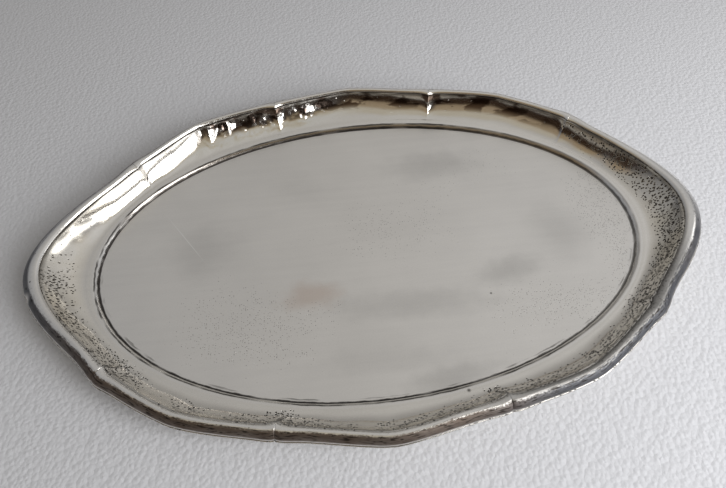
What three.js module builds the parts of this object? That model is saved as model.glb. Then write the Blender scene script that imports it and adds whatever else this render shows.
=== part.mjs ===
// A shaped-oval silver salver: one raised sheet with a sunk well, and a moulded border
// soldered round its lip in eight lengths that meet at the creases.
//
// Millimetres, +Z up. The origin is on the table under the middle of the outline.
// +X runs along the length and +Y away from the near side.

import * as THREE from 'three';

// ---- Driving dimensions ----

const HALF_LENGTH = 180;        // to the outermost edge of the lip
const HALF_WIDTH = 114.7;
const WELL_HALF_LENGTH = 146.8; // the ellipse where the well meets its step
const WELL_HALF_WIDTH = 89.5;
const CREST_HEIGHT = 17.2;      // top of the border above the table
const SHEET = 0.8;              // thickness of the raised sheet
const SOLDER_GAP = 0.3;         // between the border and the lip, and between two lengths

// Where the outline turns, in one quarter of it, and how far off the handles of its curves stand.
const SIDE_CREASE = { x: 52.5, y: 105.2, before: [-25.5, 4.3], after: [14, -2.4] };
const CORNER_PEAK = { x: 97, y: 94.5, before: [-11, 5], after: [10, -5.5] };
const END_CREASE = { x: 136.5, y: 67.2, before: [-15, 12.3], after: [8.5, -13] };
const MIDDLE_HANDLE = 9;
const END_HANDLE = 29;

// The tray was raised by eye. The creases stray from their usual places, away from the middle of the
// length and of the width, both ends are longest a little nearer the near side, and the well was sunk
// off the middle of the outline and a little turned.
const NEAR_RIGHT_STRAYS = { side: [-0.5, 0.7], end: [0.3, -0.7] };
const FAR_RIGHT_STRAYS = { side: [0, 0.5], end: [-0.2, 1.4] };
const FAR_LEFT_STRAYS = { side: [-4.6, 2.4], end: [-2.8, -2.7] };
const NEAR_LEFT_STRAYS = { side: [-2.1, 1.1], end: [-3.5, 3] };
const END_TIP_Y = -3.2;
const WELL_MIDDLE = new THREE.Vector2(1.1, -0.5);
const WELL_TURN = THREE.MathUtils.degToRad(0.3);

// The step between the well and the ledge: plan distance from the well, and height above it.
const STEP = [
  [0, 0],
  [0.7, 0.9],
  [1.5, 1.75],
  [3.4, 2.35],
];
const LEDGE_RISE = 0.2;         // from the step to the foot of the cavetto
const LEDGE_SHARE = 0.1;        // of the way from the step to the lip that is ledge

// The cavetto is the start of an ellipse: it leaves the ledge level and turns through this angle,
// which is less towards the ends, where the cavetto is broader.
const SIDE_SWEEP = THREE.MathUtils.degToRad(64);
const END_SWEEP = THREE.MathUtils.degToRad(30);
const CAVETTO_ROWS = 6;

// Sections of the border and of the lip under it: inset from the edge, and drop below the crest.
const EDGE_INSET = 0.4;
const SEAM_INSET = 5.6;
const LIP_INSET = 6.1;
const BORDER_TOP = [
  [EDGE_INSET, 3.7],
  [0.9, 2.75],
  [2, 1.3],
  [3.2, 0.3],
  [4.1, 0],
  [SEAM_INSET, 1.1],
];
const LIP_TOP = [
  [0, 4.5],
  [3, 3.5],
  [LIP_INSET, 1.6],
];
const END_WIDENING = 0.75;      // of every inset, at the tip of an end

// A crease stands in from the smooth outline, less so towards the edge: inset, depth, reach.
const CREASE_AT_EDGE = [0, 0.7, 1.6];
const CREASE_AT_CREST = [4, 1, 3];
const CREASE_AT_SEAM = [SEAM_INSET, 2.4, 4.5];
const CREASES = [CREASE_AT_EDGE, CREASE_AT_CREST, CREASE_AT_SEAM];
const CREASE_FOOT_REACH = 1.5;  // where a crease starts, at the foot of the cavetto

// The edge swells into a low shoulder on both sides of a crease.
const SHOULDER_REACH = 9;
const END_SHOULDER = 1.2;
const SIDE_SHOULDER = 0.7;
const MITRE_REACH = 12;         // over which the way in turns to a crease's own

// The power of the share of the length with which the sections change towards an end.
const END_FADE = 4;

// How finely each lobe is divided, and how much closer the steps lie near its creases.
const END_LOBE_STEPS = 22;
const SIDE_LOBE_STEPS = 14;
const CROWDING = 0.75;
const FOOT_PASSES = 12;         // for finding the nearest place on the well's ellipse

// ---- The outline: eight lobes between eight creases ----

function bezier(points, place) {
  return new THREE.CubicBezierCurve(...points.map(([x, y]) => place(x, y)));
}

function reversed(curve) {
  return new THREE.CubicBezierCurve(curve.v3, curve.v2, curve.v1, curve.v0);
}

// A turn in the outline with its handles, moved from its usual place.
function movedTurn({ x, y, before, after }, [moveX, moveY]) {
  const point = [x + moveX, y + moveY];
  const handle = ([dx, dy]) => [point[0] + dx, point[1] + dy];
  return { point, before: handle(before), after: handle(after) };
}

// One quarter of the outline, from the middle of a long side round to the end.
function quarter(signX, signY, strays) {
  const place = (x, y) => new THREE.Vector2(signX * x, signY * y);
  const side = movedTurn(SIDE_CREASE, strays.side);
  const corner = movedTurn(CORNER_PEAK, [0, 0]);
  const end = movedTurn(END_CREASE, strays.end);
  const tipY = signY * END_TIP_Y;
  const tip = [[HALF_LENGTH, tipY + END_HANDLE], [HALF_LENGTH, tipY]];
  return {
    fromMiddle: bezier([[0, HALF_WIDTH], [MIDDLE_HANDLE, HALF_WIDTH], side.before, side.point], place),
    toCorner: bezier([side.point, side.after, corner.before, corner.point], place),
    fromCorner: bezier([corner.point, corner.after, end.before, end.point], place),
    toEnd: bezier([end.point, end.after, ...tip], place),
  };
}

function makeLobe(name, first, second) {
  const path = new THREE.CurvePath();
  path.add(first);
  path.add(second);
  const steps = name.endsWith('_end') ? END_LOBE_STEPS : SIDE_LOBE_STEPS;
  return { name, path, length: path.getLength(), steps };
}

// The way in from the outline, at a share of a lobe's length.
function inwardAt(lobe, share) {
  const tangent = lobe.path.getTangent(share);
  return new THREE.Vector2(-tangent.y, tangent.x);
}

// The lobes run anticlockwise from the right end. Two neighbours share the crease between them,
// which is mitred: the way in there is halfway between theirs.
function makeLobes() {
  const nearRight = quarter(1, -1, NEAR_RIGHT_STRAYS);
  const farRight = quarter(1, 1, FAR_RIGHT_STRAYS);
  const farLeft = quarter(-1, 1, FAR_LEFT_STRAYS);
  const nearLeft = quarter(-1, -1, NEAR_LEFT_STRAYS);
  const lobes = [
    makeLobe('right_end', nearRight.toEnd, reversed(farRight.toEnd)),
    makeLobe('far_right', reversed(farRight.fromCorner), reversed(farRight.toCorner)),
    makeLobe('far_side', reversed(farRight.fromMiddle), farLeft.fromMiddle),
    makeLobe('far_left', farLeft.toCorner, farLeft.fromCorner),
    makeLobe('left_end', farLeft.toEnd, reversed(nearLeft.toEnd)),
    makeLobe('near_left', reversed(nearLeft.fromCorner), reversed(nearLeft.toCorner)),
    makeLobe('near_side', reversed(nearLeft.fromMiddle), nearRight.fromMiddle),
    makeLobe('near_right', nearRight.toCorner, nearRight.fromCorner),
  ];
  lobes.forEach((lobe, index) => {
    const before = lobes[(index + lobes.length - 1) % lobes.length];
    const atEnd = lobe.name.endsWith('_end') || before.name.endsWith('_end');
    const inward = inwardAt(before, 1).add(inwardAt(lobe, 0)).normalize();
    lobe.startCrease = { inward, swell: atEnd ? END_SHOULDER : SIDE_SHOULDER };
    before.endCrease = lobe.startCrease;
  });
  return lobes;
}

// A station is a place on the outline, with the way in from it and what its nearest crease does.
function stationAt(lobe, distance) {
  const share = distance / lobe.length;
  const fromCrease = Math.min(distance, lobe.length - distance);
  const crease = share < 0.5 ? lobe.startCrease : lobe.endCrease;
  const ownShare = Math.min(fromCrease / MITRE_REACH, 1);
  const point = lobe.path.getPoint(share);
  const atEnd = (point.x / HALF_LENGTH) ** END_FADE;
  return {
    point,
    atEnd,
    widening: 1 + END_WIDENING * atEnd,
    inward: crease.inward.clone().lerp(inwardAt(lobe, share), ownShare).normalize(),
    fromCrease,
    swell: crease.swell,
  };
}

// Distances along a lobe, closer together near its creases.
function stepDistances(lobe) {
  const distances = [];
  for (let k = 0; k <= lobe.steps; k += 1) {
    const even = k / lobe.steps;
    const crowded = 0.5 - 0.5 * Math.cos(Math.PI * even);
    distances.push(lobe.length * THREE.MathUtils.lerp(even, crowded, CROWDING));
  }
  return distances;
}

// All the stations round the salver. Each crease is the first station of the lobe after it.
function ringStations(lobes) {
  return lobes.flatMap((lobe) => {
    const distances = stepDistances(lobe).slice(0, -1);
    return distances.map((distance) => stationAt(lobe, distance));
  });
}

// ---- Places on the salver ----

// Straight-line value between rows of [inset, value, ...], which run in order of inset.
function between(rows, inset, column) {
  const after = rows.findIndex((row) => row[0] >= inset);
  const next = after < 0 ? rows.length - 1 : Math.max(after, 1);
  const [low, high] = [rows[next - 1], rows[next]];
  const share = THREE.MathUtils.clamp((inset - low[0]) / (high[0] - low[0]), 0, 1);
  return THREE.MathUtils.lerp(low[column], high[column], share);
}

// How far in a crease of this depth stands at a station, and how far out its shoulders swell there.
function creaseDip(station, depth, reach) {
  return depth * Math.exp(-station.fromCrease / reach);
}

function shoulderSwell(station) {
  return station.swell * Math.exp(-((station.fromCrease / SHOULDER_REACH) ** 2));
}

// A place on the rim, by its inset from the smooth outline and its drop below the crest.
function rimPoint(station, inset, drop) {
  const dip = creaseDip(station, between(CREASES, inset, 1), between(CREASES, inset, 2));
  const push = inset * station.widening + dip - shoulderSwell(station);
  const plan = station.point.clone().addScaledVector(station.inward, push);
  return new THREE.Vector3(plan.x, plan.y, CREST_HEIGHT - drop);
}

// The place on the well's ellipse that is nearest to a point outside it, with the way out from it.
function wellFoot(plan) {
  const middle = new THREE.Vector2();
  const target = plan.clone().sub(WELL_MIDDLE).rotateAround(middle, -WELL_TURN);
  let angle = Math.atan2(target.y / WELL_HALF_WIDTH, target.x / WELL_HALF_LENGTH);
  const foot = new THREE.Vector2();
  const out = new THREE.Vector2();
  for (let pass = 0; pass < FOOT_PASSES; pass += 1) {
    foot.set(WELL_HALF_LENGTH * Math.cos(angle), WELL_HALF_WIDTH * Math.sin(angle));
    const along = new THREE.Vector2(-WELL_HALF_LENGTH * Math.sin(angle), WELL_HALF_WIDTH * Math.cos(angle));
    out.set(along.y, -along.x).normalize();
    const caution = 1 + foot.distanceTo(target) / WELL_HALF_WIDTH;
    angle += target.clone().sub(foot).dot(along) / (along.lengthSq() * caution);
  }
  foot.rotateAround(middle, WELL_TURN).add(WELL_MIDDLE);
  out.rotateAround(middle, WELL_TURN);
  return { foot, out };
}

// The top of the sheet at one station, from the edge of the well out to the edge of the lip.
function sheetSection(station) {
  const lipHeight = CREST_HEIGHT - between(LIP_TOP, LIP_INSET, 1);
  const lipInset = LIP_INSET * station.widening;
  const smoothLip = station.point.clone().addScaledVector(station.inward, lipInset);
  const { foot, out } = wellFoot(smoothLip);
  const section = STEP.map(([reach, rise]) => {
    const plan = foot.clone().addScaledVector(out, reach);
    return new THREE.Vector3(plan.x, plan.y, SHEET + rise);
  });

  const stepTop = section[section.length - 1];
  const start = new THREE.Vector2(stepTop.x, stepTop.y).lerp(smoothLip, LEDGE_SHARE);
  const startHeight = stepTop.z + LEDGE_RISE;
  const sweep = THREE.MathUtils.lerp(SIDE_SWEEP, END_SWEEP, station.atEnd);
  for (let row = 0; row <= CAVETTO_ROWS; row += 1) {
    const turned = (sweep * row) / CAVETTO_ROWS;
    const across = Math.sin(turned) / Math.sin(sweep);
    const up = (1 - Math.cos(turned)) / (1 - Math.cos(sweep));
    const plan = start.clone().lerp(smoothLip, across);
    const reach = THREE.MathUtils.lerp(CREASE_FOOT_REACH, CREASE_AT_SEAM[2], across);
    const dip = creaseDip(station, CREASE_AT_SEAM[1], reach);
    plan.addScaledVector(station.inward, across * (dip - shoulderSwell(station)));
    section.push(new THREE.Vector3(plan.x, plan.y, THREE.MathUtils.lerp(startHeight, lipHeight, up)));
  }

  for (const [inset, drop] of [...LIP_TOP].reverse().slice(1)) {
    section.push(rimPoint(station, inset, drop));
  }
  return section;
}

// The border's closed section: over the top from the edge in, then back along the lip.
const BORDER_UNDERSIDE = [SEAM_INSET, LIP_TOP[1][0], EDGE_INSET];
const BORDER_OUTLINE = [
  ...BORDER_TOP,
  ...BORDER_UNDERSIDE.map((inset) => [inset, between(LIP_TOP, inset, 1) - SOLDER_GAP]),
];

function borderSection(station) {
  return BORDER_OUTLINE.map(([inset, drop]) => rimPoint(station, inset, drop));
}

// ---- Meshes ----

function geometryFrom(points, triangles) {
  const geometry = new THREE.BufferGeometry();
  geometry.setFromPoints(points);
  geometry.setIndex(triangles);
  return geometry;
}

// Two triangles that face the side on which their corners run anticlockwise.
function addQuad(triangles, a, b, c, d) {
  triangles.push(a, b, c, a, c, d);
}

// One face of the sheet: a fan over the well, then bands out to the lip.
function sheetTriangles(sections, rowCount, base, facingUp) {
  const triangles = [];
  const count = sections.length;
  const at = (station, row) => base + 1 + (station % count) * rowCount + row;
  for (let i = 0; i < count; i += 1) {
    const fan = [base, at(i, 0), at(i + 1, 0)];
    triangles.push(...(facingUp ? fan : fan.reverse()));
    for (let row = 0; row < rowCount - 1; row += 1) {
      const corners = [at(i, row), at(i, row + 1), at(i + 1, row + 1), at(i + 1, row)];
      addQuad(triangles, ...(facingUp ? corners : corners.reverse()));
    }
  }
  return triangles;
}

const UP = new THREE.Vector3(0, 0, 1);

function bodyGeometry(ring) {
  const sections = ring.map(sheetSection);
  const rowCount = sections[0].length;
  const top = [new THREE.Vector3(WELL_MIDDLE.x, WELL_MIDDLE.y, SHEET), ...sections.flat()];
  const topTriangles = sheetTriangles(sections, rowCount, 0, true);

  // The underside lies one sheet thickness behind the top, and the well's underside is flat.
  const face = geometryFrom(top, topTriangles);
  face.computeVertexNormals();
  const normals = face.getAttribute('normal');
  const underside = top.map((point, index) => {
    const inWell = index === 0 || (index - 1) % rowCount === 0;
    const normal = inWell ? UP : new THREE.Vector3().fromBufferAttribute(normals, index);
    return point.clone().addScaledVector(normal, -SHEET);
  });
  const triangles = [...topTriangles, ...sheetTriangles(sections, rowCount, top.length, false)];

  const edge = (station, base) => base + ((station % sections.length) + 1) * rowCount;
  for (let i = 0; i < sections.length; i += 1) {
    addQuad(triangles, edge(i, 0), edge(i, top.length), edge(i + 1, top.length), edge(i + 1, 0));
  }
  return geometryFrom([...top, ...underside], triangles);
}

function borderGeometry(lobe) {
  const trimmed = stepDistances(lobe);
  trimmed[0] += SOLDER_GAP / 2;
  trimmed[lobe.steps] -= SOLDER_GAP / 2;
  const sections = trimmed.map((distance) => borderSection(stationAt(lobe, distance)));
  const size = BORDER_OUTLINE.length;
  const at = (station, corner) => station * size + (corner % size);
  const triangles = [];
  for (let i = 0; i < lobe.steps; i += 1) {
    for (let corner = 0; corner < size; corner += 1) {
      addQuad(triangles, at(i, corner), at(i + 1, corner), at(i + 1, corner + 1), at(i, corner + 1));
    }
  }
  const face = BORDER_OUTLINE.map(([inset, drop]) => new THREE.Vector2(inset, -drop));
  const cap = THREE.ShapeUtils.triangulateShape(face, []);
  for (const [a, b, c] of cap) {
    triangles.push(at(0, c), at(0, b), at(0, a));
    triangles.push(at(lobe.steps, a), at(lobe.steps, b), at(lobe.steps, c));
  }
  return geometryFrom(sections.flat(), triangles);
}

// ---- The salver ----

const SHEET_SILVER = new THREE.MeshStandardMaterial({ color: 0xb4b1a8, roughness: 0.32, metalness: 1 });
const BORDER_SILVER = new THREE.MeshStandardMaterial({ color: 0xa9a69e, roughness: 0.28, metalness: 1 });

function addMesh(group, name, geometry, material) {
  const mesh = new THREE.Mesh(geometry, material);
  mesh.name = name;
  group.add(mesh);
}

const group = new THREE.Group();
const lobes = makeLobes();
addMesh(group, 'tray_body', bodyGeometry(ringStations(lobes)), SHEET_SILVER);
for (const lobe of lobes) {
  addMesh(group, `border_${lobe.name}`, borderGeometry(lobe), BORDER_SILVER);
}

export default group;
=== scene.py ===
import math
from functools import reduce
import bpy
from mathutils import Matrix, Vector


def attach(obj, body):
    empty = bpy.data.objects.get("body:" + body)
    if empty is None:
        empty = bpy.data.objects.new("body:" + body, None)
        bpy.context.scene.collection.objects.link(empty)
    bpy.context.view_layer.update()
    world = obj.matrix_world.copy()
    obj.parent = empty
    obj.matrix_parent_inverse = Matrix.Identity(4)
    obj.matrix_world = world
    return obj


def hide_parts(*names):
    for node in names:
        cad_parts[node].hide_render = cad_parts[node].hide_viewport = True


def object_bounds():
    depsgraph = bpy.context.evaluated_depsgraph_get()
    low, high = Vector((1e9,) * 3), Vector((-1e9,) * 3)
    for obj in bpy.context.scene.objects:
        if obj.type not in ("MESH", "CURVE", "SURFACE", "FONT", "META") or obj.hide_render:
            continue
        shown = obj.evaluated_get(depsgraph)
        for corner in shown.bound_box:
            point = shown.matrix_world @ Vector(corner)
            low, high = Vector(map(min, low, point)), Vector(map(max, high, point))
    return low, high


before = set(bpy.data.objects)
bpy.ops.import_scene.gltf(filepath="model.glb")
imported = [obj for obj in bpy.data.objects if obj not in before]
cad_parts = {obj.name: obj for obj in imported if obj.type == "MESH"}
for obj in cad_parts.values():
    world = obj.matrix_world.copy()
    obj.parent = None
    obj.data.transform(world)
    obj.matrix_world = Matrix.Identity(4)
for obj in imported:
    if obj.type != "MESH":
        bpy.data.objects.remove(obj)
CAD_LOW, CAD_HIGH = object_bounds()

# A shaped-oval silver salver. The sheet and the eight lengths of border are made again with fine
# surfaces, in the places that the frame gives, and get aged silver. Lengths are in millimetres
# until a mesh is made from them.

from types import SimpleNamespace

import bpy
import numpy as np
from mathutils import Matrix, Vector

MM = 0.001

# ---- Driving dimensions ----

HALF_LENGTH = min(CAD_HIGH.x, -CAD_LOW.x) / MM
HALF_WIDTH = min(CAD_HIGH.y, -CAD_LOW.y) / MM
CREST_HEIGHT = CAD_HIGH.z / MM
WELL_HALF_LENGTH = 146.8
WELL_HALF_WIDTH = 89.5
WELL_MIDDLE = np.array((1.1, -0.5))
WELL_TURN = math.radians(0.3)
SHEET = 0.8

# Where the outline turns in one quarter of it, and how far off the handles of its curves stand.
SIDE_CREASE = dict(at=(52.5, 105.2), before=(-25.5, 4.3), after=(14, -2.4))
CORNER_PEAK = dict(at=(97, 94.5), before=(-11, 5), after=(10, -5.5))
END_CREASE = dict(at=(136.5, 67.2), before=(-15, 12.3), after=(8.5, -13))
MIDDLE_HANDLE = 9
END_HANDLE = 29
END_TIP_Y = -3.2

# How far the creases stray from their usual places in each quarter.
NEAR_RIGHT_STRAYS = dict(side=(-0.5, 0.7), end=(0.3, -0.7))
FAR_RIGHT_STRAYS = dict(side=(0, 0.5), end=(-0.2, 1.4))
FAR_LEFT_STRAYS = dict(side=(-4.6, 2.4), end=(-2.8, -2.7))
NEAR_LEFT_STRAYS = dict(side=(-2.1, 1.1), end=(-3.5, 3))

# Depth and reach of a crease at three insets from the edge, its reach at the cavetto's foot, and
# the shoulders that swell beside it. Within the mitre's reach, the way in swings to the mitre.
CREASE_INSETS = (0, 4, 5.6)
CREASE_DEPTHS = (0.7, 1.0, 2.4)
CREASE_REACHES = (1.6, 3.0, 4.5)
CREASE_FOOT_REACH = 1.5
SHOULDER_REACH = 9
END_SHOULDER = 1.2
SIDE_SHOULDER = 0.7
MITRE_REACH = 12

# How much wider the lip and its border are at the tips of the ends, and the power of x that they
# widen with.
END_WIDENING = 0.75
END_FADE = 4

# The sheet's section: a step with a groove at its foot, a ledge and a cavetto, then the lip that
# carries the border.
STEP_PLACES = (0, 0.7, 1.5, 2.3, 3.4)
STEP_RISES = (0, 0.9, 1.75, 2.2, 2.35)
STEP_REACH = STEP_PLACES[-1]
STEP_RISE = STEP_RISES[-1]
GROOVE_DEPTH = 0.14
GROOVE_WIDTH = 0.4
LEDGE_RISE = 0.2
LEDGE_SHARE = 0.1
SIDE_SWEEP = math.radians(64)
END_SWEEP = math.radians(30)
LIP_INSETS = (0, 3, 6.1)
LIP_DROPS = (4.5, 3.5, 1.6)
LIP_INSET = LIP_INSETS[-1]

# Hand work: how far the cavetto and the crest stray in and out, in waves round the rim, and a
# knock on the left end. The crest strays in full from some way in.
CAVETTO_STRAY = 0.3
CAVETTO_WAVES = (17, 29, 41)
CAVETTO_PHASE = 2.1
CREST_STRAY = 0.1
CREST_STRAY_INSET = 5
CREST_WAVES = (13, 23, 37)
CREST_PHASE = 0.4
WAVE_PHASE_STEP = 1.7
DENT_PLACE = np.array((-173.5, -23, 12.6))
DENT_REACH = np.array((1.5, 3.4, 1.5))
DENT_PUSH = np.array((0.9, 0, -0.35))

# The border's section: insets and drops below the crest over its top, insets along its underside,
# and the gaps under it and at a mitre, where the solder is.
BORDER_TOP = ((0.4, 3.7), (0.9, 2.75), (1.6, 1.75), (2.4, 0.9), (3.2, 0.3), (4.1, 0), (5, 0.2), (5.6, 1.1))
BORDER_UNDERSIDE = (0.4, 1.4, 2.8, 4.2, 5.6)
SOLDER = 0.04
MITRE_GAP = 0.12

# What the materials are told: a zone and a reach for hidden faces, and how far a crease is felt.
UNDERSIDE = 5
FAR_FROM_STEP = 10
CREASE_SPREAD = 7

# How finely the surfaces are divided, and where their rows run.
STATION_SPACING = 1.3
CROWDING = 0.75
CURVE_SAMPLES = 400
STEPS_PER_POINT = 4
WELL_SHARES = (0.06, 0.25, 0.45, 0.65, 0.8, 0.9, 0.96)
GROOVE_REACHES = (-1.2, -0.9, -0.6, -0.3)
LEDGE_SHARES = (0.3, 0.65)
CAVETTO_SHARES = np.linspace(0, 1, 27)
LIP_ROW_INSETS = (5.4, 4, 3, 1.6, 0.6, 0.2)
ROWS_UNDER_WELL = (0, 4, 6)

# How often a guess at the nearest place on the well is bettered, and how often normals are eased.
FOOT_GUESSES = 12
EASING_PASSES = 10

# ---- Curves, and the outline: eight lobes between eight creases ----


def bezier(points, share):
    a, b, c, d = (np.array(point, float) for point in points)
    s = share[:, None]
    return (1 - s) ** 3 * a + 3 * (1 - s) ** 2 * s * b + 3 * (1 - s) * s**2 * c + s**3 * d


def smooth_through(points):
    """A smooth curve through some points, after Catmull and Rom."""
    points = np.array(points, float)
    ends = np.vstack((2 * points[0] - points[1], points, 2 * points[-1] - points[-2]))
    curve = []
    for a, b, c, d in zip(ends[:-3], ends[1:-2], ends[2:-1], ends[3:]):
        for s in np.arange(STEPS_PER_POINT) / STEPS_PER_POINT:
            bend = (2 * a - 5 * b + 4 * c - d) * s**2 + (3 * b - a - 3 * c + d) * s**3
            curve.append((2 * b + (c - a) * s + bend) / 2)
    curve.append(points[-1])
    return np.array(curve)


def moved_turn(turn, move):
    at = np.add(turn["at"], move)
    return SimpleNamespace(at=at, before=at + turn["before"], after=at + turn["after"])


def quarter(sign_x, sign_y, strays):
    """The four curves from the middle of a long side round to the end."""
    side = moved_turn(SIDE_CREASE, strays["side"])
    corner = moved_turn(CORNER_PEAK, (0, 0))
    end = moved_turn(END_CREASE, strays["end"])
    sign = np.array((sign_x, sign_y))
    share = np.linspace(0, 1, CURVE_SAMPLES)
    middle = ((0, HALF_WIDTH), (MIDDLE_HANDLE, HALF_WIDTH))
    tip_y = sign_y * END_TIP_Y
    tip = ((HALF_LENGTH, tip_y + END_HANDLE), (HALF_LENGTH, tip_y))
    return SimpleNamespace(
        from_middle=bezier((*middle, side.before, side.at), share) * sign,
        to_corner=bezier((side.at, side.after, corner.before, corner.at), share) * sign,
        from_corner=bezier((corner.at, corner.after, end.before, end.at), share) * sign,
        to_end=bezier((end.at, end.after, *tip), share) * sign,
    )


def make_lobe(name, first, second):
    points = np.vstack((first, second[1:]))
    steps = np.linalg.norm(np.diff(points, axis=0), axis=1)
    arc = np.concatenate(([0], np.cumsum(steps)))
    tangent = np.gradient(points, arc, axis=0)
    inward = np.stack((-tangent[:, 1], tangent[:, 0]), axis=1)
    inward /= np.linalg.norm(inward, axis=1, keepdims=True)
    return SimpleNamespace(name=name, points=points, arc=arc, length=arc[-1], inward=inward)


def make_lobes():
    """The lobes anticlockwise from the right end. Two neighbours share a mitred crease."""
    near_right = quarter(1, -1, NEAR_RIGHT_STRAYS)
    far_right = quarter(1, 1, FAR_RIGHT_STRAYS)
    far_left = quarter(-1, 1, FAR_LEFT_STRAYS)
    near_left = quarter(-1, -1, NEAR_LEFT_STRAYS)
    lobes = [
        make_lobe("right_end", near_right.to_end, far_right.to_end[::-1]),
        make_lobe("far_right", far_right.from_corner[::-1], far_right.to_corner[::-1]),
        make_lobe("far_side", far_right.from_middle[::-1], far_left.from_middle),
        make_lobe("far_left", far_left.to_corner, far_left.from_corner),
        make_lobe("left_end", far_left.to_end, near_left.to_end[::-1]),
        make_lobe("near_left", near_left.from_corner[::-1], near_left.to_corner[::-1]),
        make_lobe("near_side", near_left.from_middle[::-1], near_right.from_middle),
        make_lobe("near_right", near_right.to_corner, near_right.from_corner),
    ]
    start = 0
    for index, lobe in enumerate(lobes):
        before = lobes[index - 1]
        at_end = "end" in lobe.name or "end" in before.name
        mitre = before.inward[-1] + lobe.inward[0]
        crease = SimpleNamespace(
            inward=mitre / np.linalg.norm(mitre), swell=END_SHOULDER if at_end else SIDE_SHOULDER
        )
        lobe.first_crease = before.last_crease = crease
        lobe.start = start
        start += lobe.length
    return lobes


def at_distances(lobe, distance):
    """Stations of one lobe: places on the outline, the way in from each, and its crease."""
    point = np.stack([np.interp(distance, lobe.arc, lobe.points[:, k]) for k in (0, 1)], axis=1)
    own = np.stack([np.interp(distance, lobe.arc, lobe.inward[:, k]) for k in (0, 1)], axis=1)
    first_half = (distance < lobe.length / 2)[:, None]
    from_crease = np.minimum(distance, lobe.length - distance)
    mitre = np.where(first_half, lobe.first_crease.inward, lobe.last_crease.inward)
    own_share = np.minimum(from_crease / MITRE_REACH, 1)[:, None]
    inward = mitre * (1 - own_share) + own * own_share
    inward /= np.linalg.norm(inward, axis=1, keepdims=True)
    swell = np.where(first_half[:, 0], lobe.first_crease.swell, lobe.last_crease.swell)
    at_end = (point[:, 0] / HALF_LENGTH) ** END_FADE
    return SimpleNamespace(
        point=point, inward=inward, from_crease=from_crease, swell=swell,
        at_end=at_end, widening=1 + END_WIDENING * at_end, along=lobe.start + distance,
    )


def step_distances(lobe):
    """Distances along a lobe, closer together near its creases."""
    even = np.linspace(0, 1, round(lobe.length / STATION_SPACING) + 1)
    crowded = 0.5 - 0.5 * np.cos(np.pi * even)
    return lobe.length * (even + (crowded - even) * CROWDING)


def ring_stations(lobes):
    """The stations of all the lobes, once round the rim."""
    parts = [vars(at_distances(lobe, step_distances(lobe)[:-1])) for lobe in lobes]
    return SimpleNamespace(**{name: np.concatenate([part[name] for part in parts]) for name in parts[0]})


# ---- Places on the salver ----


def wobble(along, turns, phase):
    """Slow, handmade unevenness from -1 to 1 round the rim, as whole numbers of waves."""
    angle = 2 * np.pi * along / RIM_LENGTH
    waves = [np.sin(turn * angle + phase + WAVE_PHASE_STEP * turn) for turn in turns]
    return sum(waves) / len(waves)


def crease_dip(stations, depth, reach):
    return depth * np.exp(-stations.from_crease / reach)


def shoulder_swell(stations):
    return stations.swell * np.exp(-((stations.from_crease / SHOULDER_REACH) ** 2))


def in_space(plan, height):
    height = np.broadcast_to(height, (len(plan),))
    return np.column_stack((plan, height))


def rim_points(stations, inset, drop):
    depth = np.interp(inset, CREASE_INSETS, CREASE_DEPTHS)
    reach = np.interp(inset, CREASE_INSETS, CREASE_REACHES)
    push = inset * stations.widening + crease_dip(stations, depth, reach) - shoulder_swell(stations)
    stray = np.interp(inset, (0, CREST_STRAY_INSET), (0, CREST_STRAY))
    push = push + stray * wobble(stations.along, CREST_WAVES, CREST_PHASE)
    return in_space(stations.point + stations.inward * push[:, None], CREST_HEIGHT - drop)


def dented(points):
    """The points with the knock on the left end pushed in."""
    nearness = np.exp(-(((points - DENT_PLACE) / DENT_REACH) ** 2).sum(-1))
    return points + nearness[..., None] * DENT_PUSH


def turned(plan, angle):
    cosine, sine = math.cos(angle), math.sin(angle)
    return plan @ np.array(((cosine, sine), (-sine, cosine)))


def well_feet(plan):
    """The places on the well's ellipse nearest to some points outside it, and the ways out."""
    target = turned(plan - WELL_MIDDLE, -WELL_TURN)
    angle = np.arctan2(target[:, 1] / WELL_HALF_WIDTH, target[:, 0] / WELL_HALF_LENGTH)
    for _ in range(FOOT_GUESSES):
        foot = np.column_stack((WELL_HALF_LENGTH * np.cos(angle), WELL_HALF_WIDTH * np.sin(angle)))
        along = np.column_stack((-WELL_HALF_LENGTH * np.sin(angle), WELL_HALF_WIDTH * np.cos(angle)))
        squared = (along**2).sum(1)
        caution = 1 + np.linalg.norm(foot - target, axis=1) / WELL_HALF_WIDTH
        angle = angle + ((target - foot) * along).sum(1) / (squared * caution)
    out = np.column_stack((along[:, 1], -along[:, 0])) / np.sqrt(squared)[:, None]
    return turned(foot, WELL_TURN) + WELL_MIDDLE, turned(out, WELL_TURN)


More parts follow.
